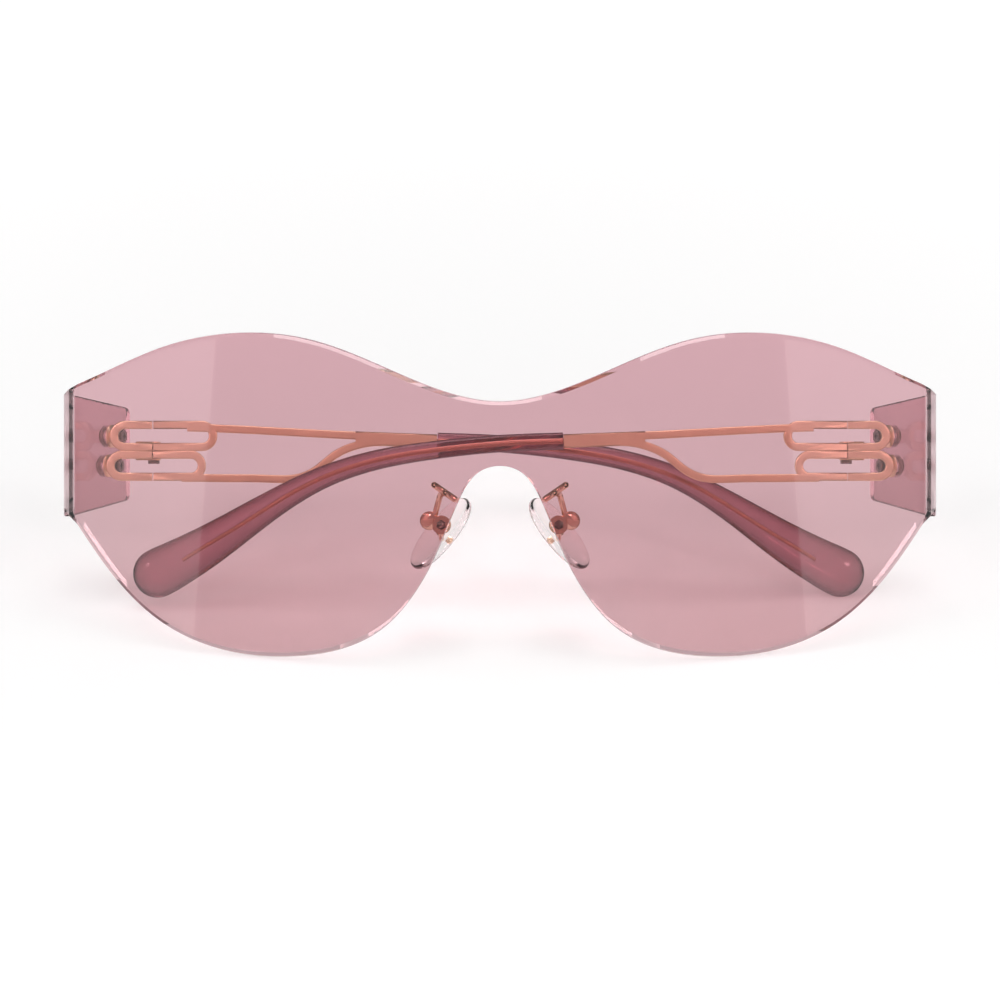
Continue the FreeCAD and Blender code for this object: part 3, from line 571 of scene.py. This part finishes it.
# Only the upper half of the dome stands proud: the lower half is taken off at the washer
under = screw_node("GeometryNodeMeshCube")
under_size = screw_node("ShaderNodeVectorMath", operation="SCALE")
under_size.inputs[0].default_value = (3, 3, 2)
screw_link(screw_in.outputs["Head Radius"], under_size.inputs["Scale"])
screw_link(under_size.outputs[0], under.inputs["Size"])
under_drop = screw_node("ShaderNodeMath", operation="SUBTRACT")
screw_link(half_length.outputs[0], under_drop.inputs[0])
screw_link(screw_in.outputs["Head Radius"], under_drop.inputs[1])
under_place = screw_node("ShaderNodeCombineXYZ")
screw_link(under_drop.outputs[0], under_place.inputs["Z"])
under_put = screw_node("GeometryNodeTransform")
screw_link(under.outputs["Mesh"], under_put.inputs["Geometry"])
screw_link(under_place.outputs[0], under_put.inputs["Translation"])
head = screw_node("GeometryNodeMeshBoolean", operation="DIFFERENCE")
screw_link(dome.outputs["Geometry"], head.inputs["Mesh 1"])
screw_link(under_put.outputs["Geometry"], head.inputs["Mesh 2"])
whole = screw_node("GeometryNodeJoinGeometry")
screw_link(crossed.outputs["Mesh"], whole.inputs[0])
screw_link(head.outputs["Mesh"], whole.inputs[0])
slide = screw_node("GeometryNodeTransform")
slide_place = screw_node("ShaderNodeCombineXYZ")
screw_link(screw_in.outputs["Shank Offset"], slide_place.inputs["Z"])
screw_link(whole.outputs[0], slide.inputs["Geometry"])
screw_link(slide_place.outputs[0], slide.inputs["Translation"])
outward_way = screw_node("GeometryNodeInputNamedAttribute", data_type="FLOAT_VECTOR")
outward_way.inputs["Name"].default_value = "outward"
aim = screw_node("FunctionNodeAlignRotationToVector", axis="Z")
screw_link(outward_way.outputs["Attribute"], aim.inputs["Vector"])
each = screw_node("GeometryNodeInstanceOnPoints")
screw_link(screw_in.outputs["Seats"], each.inputs["Points"])
screw_link(slide.outputs["Geometry"], each.inputs["Instance"])
screw_link(aim.outputs["Rotation"], each.inputs["Rotation"])
real = screw_node("GeometryNodeRealizeInstances")
finish = screw_node("GeometryNodeSetMaterial")
screw_link(each.outputs["Instances"], real.inputs["Geometry"])
screw_link(real.outputs["Geometry"], finish.inputs["Geometry"])
screw_link(screw_in.outputs["Finish"], finish.inputs["Material"])
screw_link(finish.outputs["Geometry"], screw_out.inputs["Screws"])

seat_mesh = bpy.data.meshes.new("lens_screws")
seat_mesh.from_pydata([tuple(standing([seat])[0]) for seat, outward in boss_seats], [], [])
outward_values = seat_mesh.attributes.new("outward", "FLOAT_VECTOR", "POINT")
for value, (seat, outward) in zip(outward_values.data, boss_seats):
    value.vector = lean_back @ outward
lens_screws = bpy.data.objects.new("lens_screws", seat_mesh)
bpy.context.scene.collection.objects.link(lens_screws)
placing = lens_screws.modifiers.new("set_screws", "NODES")
placing.node_group = screw_tree
for socket in screw_tree.interface.items_tree:
    if socket.in_out == "INPUT" and socket.name == "Finish":
        placing[socket.identifier] = shaded_gold_paint
bpy.context.view_layer.update()
screw_mesh = bpy.data.meshes.new_from_object(lens_screws.evaluated_get(bpy.context.evaluated_depsgraph_get()))
lens_screws.modifiers.clear()
lens_screws.data = screw_mesh
polish(lens_screws, angle=35)
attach(lens_screws, "front")
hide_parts("left_lens_screws", "right_lens_screws")


# Nuts, washers and bushes. Six-sided nuts on the screws' inner ends; clear nylon washers under the heads and
# bushes in the holes keep the metal off the lens.
CLEAR_NYLON = (0.90, 0.84, 0.84)
NYLON_SHADOW = (0.9, 0.86, 0.86)
clear_nylon, tree, shader, output = new_material("clear_nylon")
shader.inputs["Base Color"].default_value = (*CLEAR_NYLON, 1)
shader.inputs["Transmission Weight"].default_value = 0.85
shader.inputs["IOR"].default_value = 1.5
wiped(tree, shader, roughness=0.12, smear=0.10)
let_light_through(tree, shader, output, NYLON_SHADOW)
for side in ("left", "right"):
    # The nuts take the dark copy of the gold as painted shade
    finished_copy(side + "_lens_nuts", shaded_gold_paint, angle=30)
    finished_copy(side + "_lens_washers", clear_nylon, angle=30)
    finished_copy(side + "_lens_bushes", clear_nylon, angle=30)


# Hinge screws and washers. A slotted screw through three knuckles behind the loops, with a thin nylon washer
# on each side of the middle one so the temple swings with a light, even drag.
for side in ("left", "right"):
    # The hinge screws take the dark copy of the gold as painted shade
    finished_copy(side + "_hinge_screw", shaded_gold_paint, angle=30)
    finished_copy(side + "_hinge_washers", clear_nylon, angle=30)


# Temple arms. The inner halves of the loops run on as two flat bars that meet in a Y; the stem goes on inside
# the tip as a tapering core. Stamped plate with rounded edges, gold-plated like the end pieces.
for side in ("left", "right"):
    finished_copy(side + "_temple_arm", gold_plate, angle=32)


# Temple tips. Paddles of clear pink acetate pushed over the cores: oval and slim where they start, then
# dropping and growing into a thick rounded end, tumbled to a wet gloss.
TIP_LINE = [(48.4, 10.3), (61.0, 9.8), (72.2, 8.68), (83.2, 6.75), (91.9, 3.8), (102.9, -2.35), (111.7, -8.0),
            (120.4, -12.75), (124.2, -14.6)]
TIP_HEIGHTS = [(49.7, 3.0), (72.2, 3.2), (83.2, 3.5), (91.9, 3.9), (102.9, 5.4), (111.7, 7.2), (119.0, 8.5)]
TIP_START = 49.7
TIP_THICKNESS = (1.9, 3.2)
TIP_ROUND = 4.3
TIP_PLANE = 26.0
TIP_STRETCH = 123.6 / 124.2
TIP_STATIONS, ROUND_STATIONS = 90, 22
OVAL = 48
SLOPE_REACH = 0.2
TEMPLE_GAP = 0.66
TIP_PINK = (0.57, 0.28, 0.325)
TIP_PINK_DEEP = (0.50, 0.23, 0.27)
# Near-black for the rims: partly deeper acetate, partly painted shade
TIP_RIM_DEPTH_AND_SHADE = (0.03, 0.006, 0.009)
TIP_SHADOW = (0.84, 0.74, 0.76)

acetate, tree, shader, output = new_material("pink_acetate")
cloud_place = tree.nodes.new("ShaderNodeTexCoord")
cloud = tree.nodes.new("ShaderNodeTexNoise")
cloud.inputs["Scale"].default_value = 90
cloud.inputs["Detail"].default_value = 2
blend = colour_mix(tree, TIP_PINK, TIP_PINK_DEEP)
tree.links.new(cloud_place.outputs["Object"], cloud.inputs["Vector"])
tree.links.new(cloud.outputs["Fac"], blend.inputs["Factor"])
# The colour deepens towards the edges, partly for the longer way through the acetate and partly as a painted
# dark outline of shade
facing = tree.nodes.new("ShaderNodeLayerWeight")
facing.inputs["Blend"].default_value = 0.83
rim_depth_and_shade = colour_mix(tree, None, TIP_RIM_DEPTH_AND_SHADE)
tree.links.new(facing.outputs["Facing"], rim_depth_and_shade.inputs["Factor"])
tree.links.new(blend.outputs["Result"], rim_depth_and_shade.inputs["A"])
tree.links.new(rim_depth_and_shade.outputs["Result"], shader.inputs["Base Color"])
shader.inputs["Transmission Weight"].default_value = 1.0
shader.inputs["IOR"].default_value = 1.48
wiped(tree, shader, roughness=0.02, smear=0.03)
let_light_through(tree, shader, output, TIP_SHADOW)

tip_line = smooth_line(TIP_LINE, 801)
tip_run = np.concatenate([[0], np.cumsum(np.linalg.norm(np.diff(tip_line, axis=0), axis=1))])
tip_height_line = smooth_line(TIP_HEIGHTS, 400)
run_start = np.interp(TIP_START, tip_line[:, 0], tip_run)
run_round = tip_run[-1] - TIP_ROUND
round_turns = np.linspace(0, math.pi / 2, ROUND_STATIONS)
run_stations = np.concatenate([np.linspace(run_start, run_round, TIP_STATIONS, endpoint=False),
                               run_round + TIP_ROUND * np.sin(round_turns)])
for side in ("left", "right"):
    sign = -1 if side == "left" else 1
    fold = -sign * math.asin((TIP_THICKNESS[0] + TEMPLE_GAP) / 2 / HINGE_POINT.x)
    points = []
    for run in run_stations:
        reach = [run, min(run + SLOPE_REACH, tip_run[-1]), run - SLOPE_REACH]
        along, ahead, behind = np.interp(reach, tip_run, tip_line[:, 0])
        height, above, below = np.interp(reach, tip_run, tip_line[:, 1])
        slope = math.atan2(above - below, ahead - behind)
        shrink = math.sqrt(max(0.0, 1 - (max(0.0, run - run_round) / TIP_ROUND) ** 2))
        share = (run - run_start) / (run_round - run_start)
        tall = np.interp(along, tip_height_line[:, 0], tip_height_line[:, 1]) / 2 * shrink
        thick = (TIP_THICKNESS[0] + (TIP_THICKNESS[1] - TIP_THICKNESS[0]) * min(share, 1)) / 2 * shrink
        for turn in np.linspace(0, 2 * math.pi, OVAL, endpoint=False):
            across = tall * math.cos(turn)
            points.append((along - across * math.sin(slope), thick * math.sin(turn),
                           height + across * math.cos(slope)))
    points = np.array(points)
    # Counted from the hinge, swung by the fold angle, then set on its side
    out = points[:, 0] * TIP_STRETCH
    deep = points[:, 1] + TIP_PLANE - HINGE_POINT.y
    swung = np.stack([sign * (HINGE_POINT.x - out * math.cos(fold) + deep * math.sin(fold)),
                      HINGE_POINT.y + out * math.sin(fold) + deep * math.cos(fold), points[:, 2]], axis=1)
    faces = ring_faces(len(run_stations), OVAL) + [tuple(range(OVAL))]
    tip = piece_from(side + "_tip_paddle", standing(swung), faces)
    polish(tip, angle=50)
    tip.data.materials.append(acetate)
    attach(tip, side + "_temple")
    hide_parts(side + "_temple_tip")


# Pad arms, screws and inserts. A bar pegged to the back of the lens carries a short bent arm and a box;
# a small hex-socket screw through the box holds the pad's metal tongue.
SOCKET_RADIUS = 0.00086
SOCKET_DEPTH = 0.00045
BRIGHT_GOLD = (0.90, 0.66, 0.50)
BRIGHT_GOLD_DEEP = (0.82, 0.55, 0.40)
bright_gold = plated("bright_gold", BRIGHT_GOLD, BRIGHT_GOLD_DEEP, roughness=0.09, smear=0.08)
for side in ("left", "right"):
    finished_copy(side + "_pad_arm", bright_gold, angle=40)
    pad_screw = finished_copy(side + "_pad_screw", bright_gold, angle=30)
    # A second slot with the dark metal, for painted shade in the socket
    pad_screw.data.materials.append(shaded_gold_paint)
    axle = Vector(next(j["pos_m"] for j in frame["joints"] if j["name"] == side + "_pad_rock"))
    facing_out = lean_back @ Vector((0, -1, 0))
    head_front = max((corner.co - axle).dot(facing_out) for corner in pad_screw.data.vertices)
    # Painted shade: the walls and floor of the socket take the dark metal, so the recess reads dark
    for face in pad_screw.data.polygons:
        height = (face.center - axle).dot(facing_out)
        aside = (face.center - axle - facing_out * height).length
        if aside < SOCKET_RADIUS and height > head_front - SOCKET_DEPTH:
            face.material_index = 1
    finished_copy(side + "_pad_insert", bright_gold, angle=40)


# Nose pads. Soft clear silicone moulded round the tongue: a long oval with a flat side towards the arm and a
# crowned side towards the nose.
PAD_LENGTH = 14.8
PAD_WIDTH = 7.6
PAD_THICKNESS = 2.2
PAD_CENTRE = Vector((10.1, 12.2, -5.7))
PAD_TURN = math.radians(50)
PAD_LEAN = math.radians(-39)
PAD_FULLNESS = 0.9
PAD_RIM = 0.8
ARM_SIDE = 0.75
AROUND, DOWN = 56, 28
SILICONE = (0.97, 0.93, 0.93)
SILICONE_HAZE = (0.93, 0.87, 0.87)
SILICONE_SHADOW = (0.92, 0.84, 0.84)

silicone, tree, shader, output = new_material("clear_silicone")
shader.inputs["Transmission Weight"].default_value = 1.0
shader.inputs["IOR"].default_value = 1.41
haze_place = tree.nodes.new("ShaderNodeTexCoord")
haze = tree.nodes.new("ShaderNodeTexNoise")
haze.inputs["Scale"].default_value = 350
haze_tone = colour_mix(tree, SILICONE, SILICONE_HAZE)
tree.links.new(haze_place.outputs["Object"], haze.inputs["Vector"])
tree.links.new(haze.outputs["Fac"], haze_tone.inputs["Factor"])
tree.links.new(haze_tone.outputs["Result"], shader.inputs["Base Color"])
wiped(tree, shader, roughness=0.02, smear=0.05)
let_light_through(tree, shader, output, SILICONE_SHADOW)

pad_turned = (Quaternion((0, 1, 0), PAD_LEAN) @ Quaternion((0, 0, 1), PAD_TURN)).to_matrix()
for side in ("left", "right"):
    sign = -1 if side == "left" else 1
    points = []
    for rise in np.linspace(-math.pi / 2, math.pi / 2, DOWN + 1):
        for turn in np.linspace(0, 2 * math.pi, AROUND, endpoint=False):
            # Fuller than an ellipse in outline, flatter on the arm's side
            wide = math.copysign(abs(math.cos(turn)) ** PAD_FULLNESS, math.cos(turn))
            long = math.copysign(abs(math.sin(turn)) ** PAD_FULLNESS, math.sin(turn))
            rim = math.cos(rise) ** PAD_RIM
            crown = math.sin(rise) * (1.0 if rise > 0 else ARM_SIDE)
            local = Vector((PAD_WIDTH / 2 * rim * wide, PAD_THICKNESS / 2 * crown,
                            PAD_LENGTH / 2 * rim * long))
            point = PAD_CENTRE + pad_turned @ local
            points.append((sign * point.x, point.y, point.z))
    pad = piece_from(side + "_silicone_pad", standing(points), ring_faces(DOWN + 1, AROUND))
    polish(pad, angle=70)
    pad.data.materials.append(silicone)
    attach(pad, side + "_pad")
    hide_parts(side + "_nose_pad")


# Studio floor. A wide white sheet that the sunglasses stand on; it reads as white to the camera and through
# the lens, and keeps the soft shadows.
FLOOR_WHITE = (0.92, 0.915, 0.915)
FLOOR_HALF = 3
floor_mesh = bpy.data.meshes.new("studio_floor")
floor_corners = [(x * FLOOR_HALF, y * FLOOR_HALF, 0) for x, y in ((-1, -1), (1, -1), (1, 1), (-1, 1))]
floor_mesh.from_pydata(floor_corners, [], [(0, 1, 2, 3)])
floor = bpy.data.objects.new("studio_floor", floor_mesh)
bpy.context.scene.collection.objects.link(floor)
paper, tree, shader, output = new_material("white_sheet")
shader.inputs["Base Color"].default_value = (*FLOOR_WHITE, 1)
shader.inputs["Roughness"].default_value = 0.35
shader.inputs["Specular IOR Level"].default_value = 0.2
rays = tree.nodes.new("ShaderNodeLightPath")
seen = math_node(tree, "MAXIMUM")
seen_through = math_node(tree, "MAXIMUM")
glow_strength = math_node(tree, "MULTIPLY")
# A soft glow that grows away from the sunglasses keeps the far sheet white
spot = tree.nodes.new("ShaderNodeTexCoord")
away = tree.nodes.new("ShaderNodeVectorMath")
away.operation = "LENGTH"
glow = tree.nodes.new("ShaderNodeMapRange")
glow.inputs["From Min"].default_value = 0.10
glow.inputs["From Max"].default_value = 1.0
glow.inputs["To Min"].default_value = 0.10
glow.inputs["To Max"].default_value = 0.80
tree.links.new(spot.outputs["Object"], away.inputs[0])
tree.links.new(away.outputs["Value"], glow.inputs["Value"])
tree.links.new(glow.outputs["Result"], glow_strength.inputs[1])
tree.links.new(rays.outputs["Is Camera Ray"], seen.inputs[0])
tree.links.new(rays.outputs["Is Glossy Ray"], seen.inputs[1])
tree.links.new(seen.outputs[0], seen_through.inputs[0])
tree.links.new(rays.outputs["Is Transmission Ray"], seen_through.inputs[1])
tree.links.new(seen_through.outputs[0], glow_strength.inputs[0])
shader.inputs["Emission Color"].default_value = (1, 1, 1, 1)
tree.links.new(glow_strength.outputs[0], shader.inputs["Emission Strength"])
floor.data.materials.append(paper)


# Studio light. A pale surround, a large softbox overhead, a low one in front with a small lamp at each end of
# it, and a tall softbox at each side, whose edges show in the curve of the lens.
WALL_SEEN_THROUGH = 0.75
world = bpy.data.worlds.new("studio")
bpy.context.scene.world = world
world.use_nodes = True
wall = world.node_tree
surround = wall.nodes["Background"]
surround.inputs["Color"].default_value = (1, 1, 1, 1)
way = wall.nodes.new("ShaderNodeTexCoord")
split = wall.nodes.new("ShaderNodeSeparateXYZ")
rise = wall.nodes.new("ShaderNodeMapRange")
rise.inputs["From Min"].default_value = 0.0
rise.inputs["From Max"].default_value = 0.9
rise.inputs["To Min"].default_value = 0.06
rise.inputs["To Max"].default_value = 0.5
wall.links.new(way.outputs["Generated"], split.inputs[0])
wall.links.new(split.outputs["Z"], rise.inputs["Value"])
# Seen straight or through the clear pieces, the far wall is as pale as the floor
world_rays = wall.nodes.new("ShaderNodeLightPath")
through = math_node(wall, "MULTIPLY")
through.inputs[1].default_value = WALL_SEEN_THROUGH
paler = math_node(wall, "MAXIMUM")
palest = math_node(wall, "MAXIMUM")
wall.links.new(world_rays.outputs["Is Transmission Ray"], through.inputs[0])
wall.links.new(rise.outputs["Result"], paler.inputs[0])
wall.links.new(through.outputs[0], paler.inputs[1])
wall.links.new(paler.outputs[0], palest.inputs[0])
wall.links.new(world_rays.outputs["Is Camera Ray"], palest.inputs[1])
wall.links.new(palest.outputs[0], surround.inputs["Strength"])


def softbox(name, place, target, width, height, power):
    lamp = bpy.data.lights.new(name, "AREA")
    lamp.shape = "RECTANGLE"
    lamp.size = width
    lamp.size_y = height
    lamp.energy = power
    holder = bpy.data.objects.new(name, lamp)
    bpy.context.scene.collection.objects.link(holder)
    holder.location = place
    holder.rotation_mode = "QUATERNION"
    holder.rotation_quaternion = (Vector(target) - Vector(place)).to_track_quat("-Z", "Y")


LENS_FOOT = (0, 0, 0.02)
softbox("overhead_softbox", (0.05, 0.25, 1.1), (0, 0, 0), width=0.6, height=0.5, power=4.4)
softbox("front_softbox", (0, -0.75, 0.78), LENS_FOOT, width=0.6, height=0.22, power=1.0)
for side, sign in (("left", -1), ("right", 1)):
    softbox(side + "_lamp", (sign * 0.45, -0.75, 0.62), LENS_FOOT, width=0.16, height=0.12, power=1.5)
for side, sign in (("left", -1), ("right", 1)):
    softbox(side + "_softbox", (sign * 0.95, -0.60, 0.50), LENS_FOOT, width=0.85, height=1.0, power=2.6)


# Camera. Square on to the front of the lens, at the photograph's distance and framing; the picture is shown
# as it is lit, with no film look.
CAMERA_DISTANCE = 600.0
CAMERA_LENS = 129.0
camera = bpy.data.objects.new("camera", bpy.data.cameras.new("camera"))
bpy.context.scene.collection.objects.link(camera)
camera.data.sensor_width = 36.0
camera.data.lens = CAMERA_LENS
camera.data.clip_start = 0.01
camera.location = standing([(0, -CAMERA_DISTANCE, 0)])[0]
camera.rotation_mode = "QUATERNION"
camera.rotation_quaternion = (lean_back @ Vector((0, 1, 0))).to_track_quat("-Z", "Y")
bpy.context.scene.camera = camera
bpy.context.scene.view_settings.view_transform = "Standard"
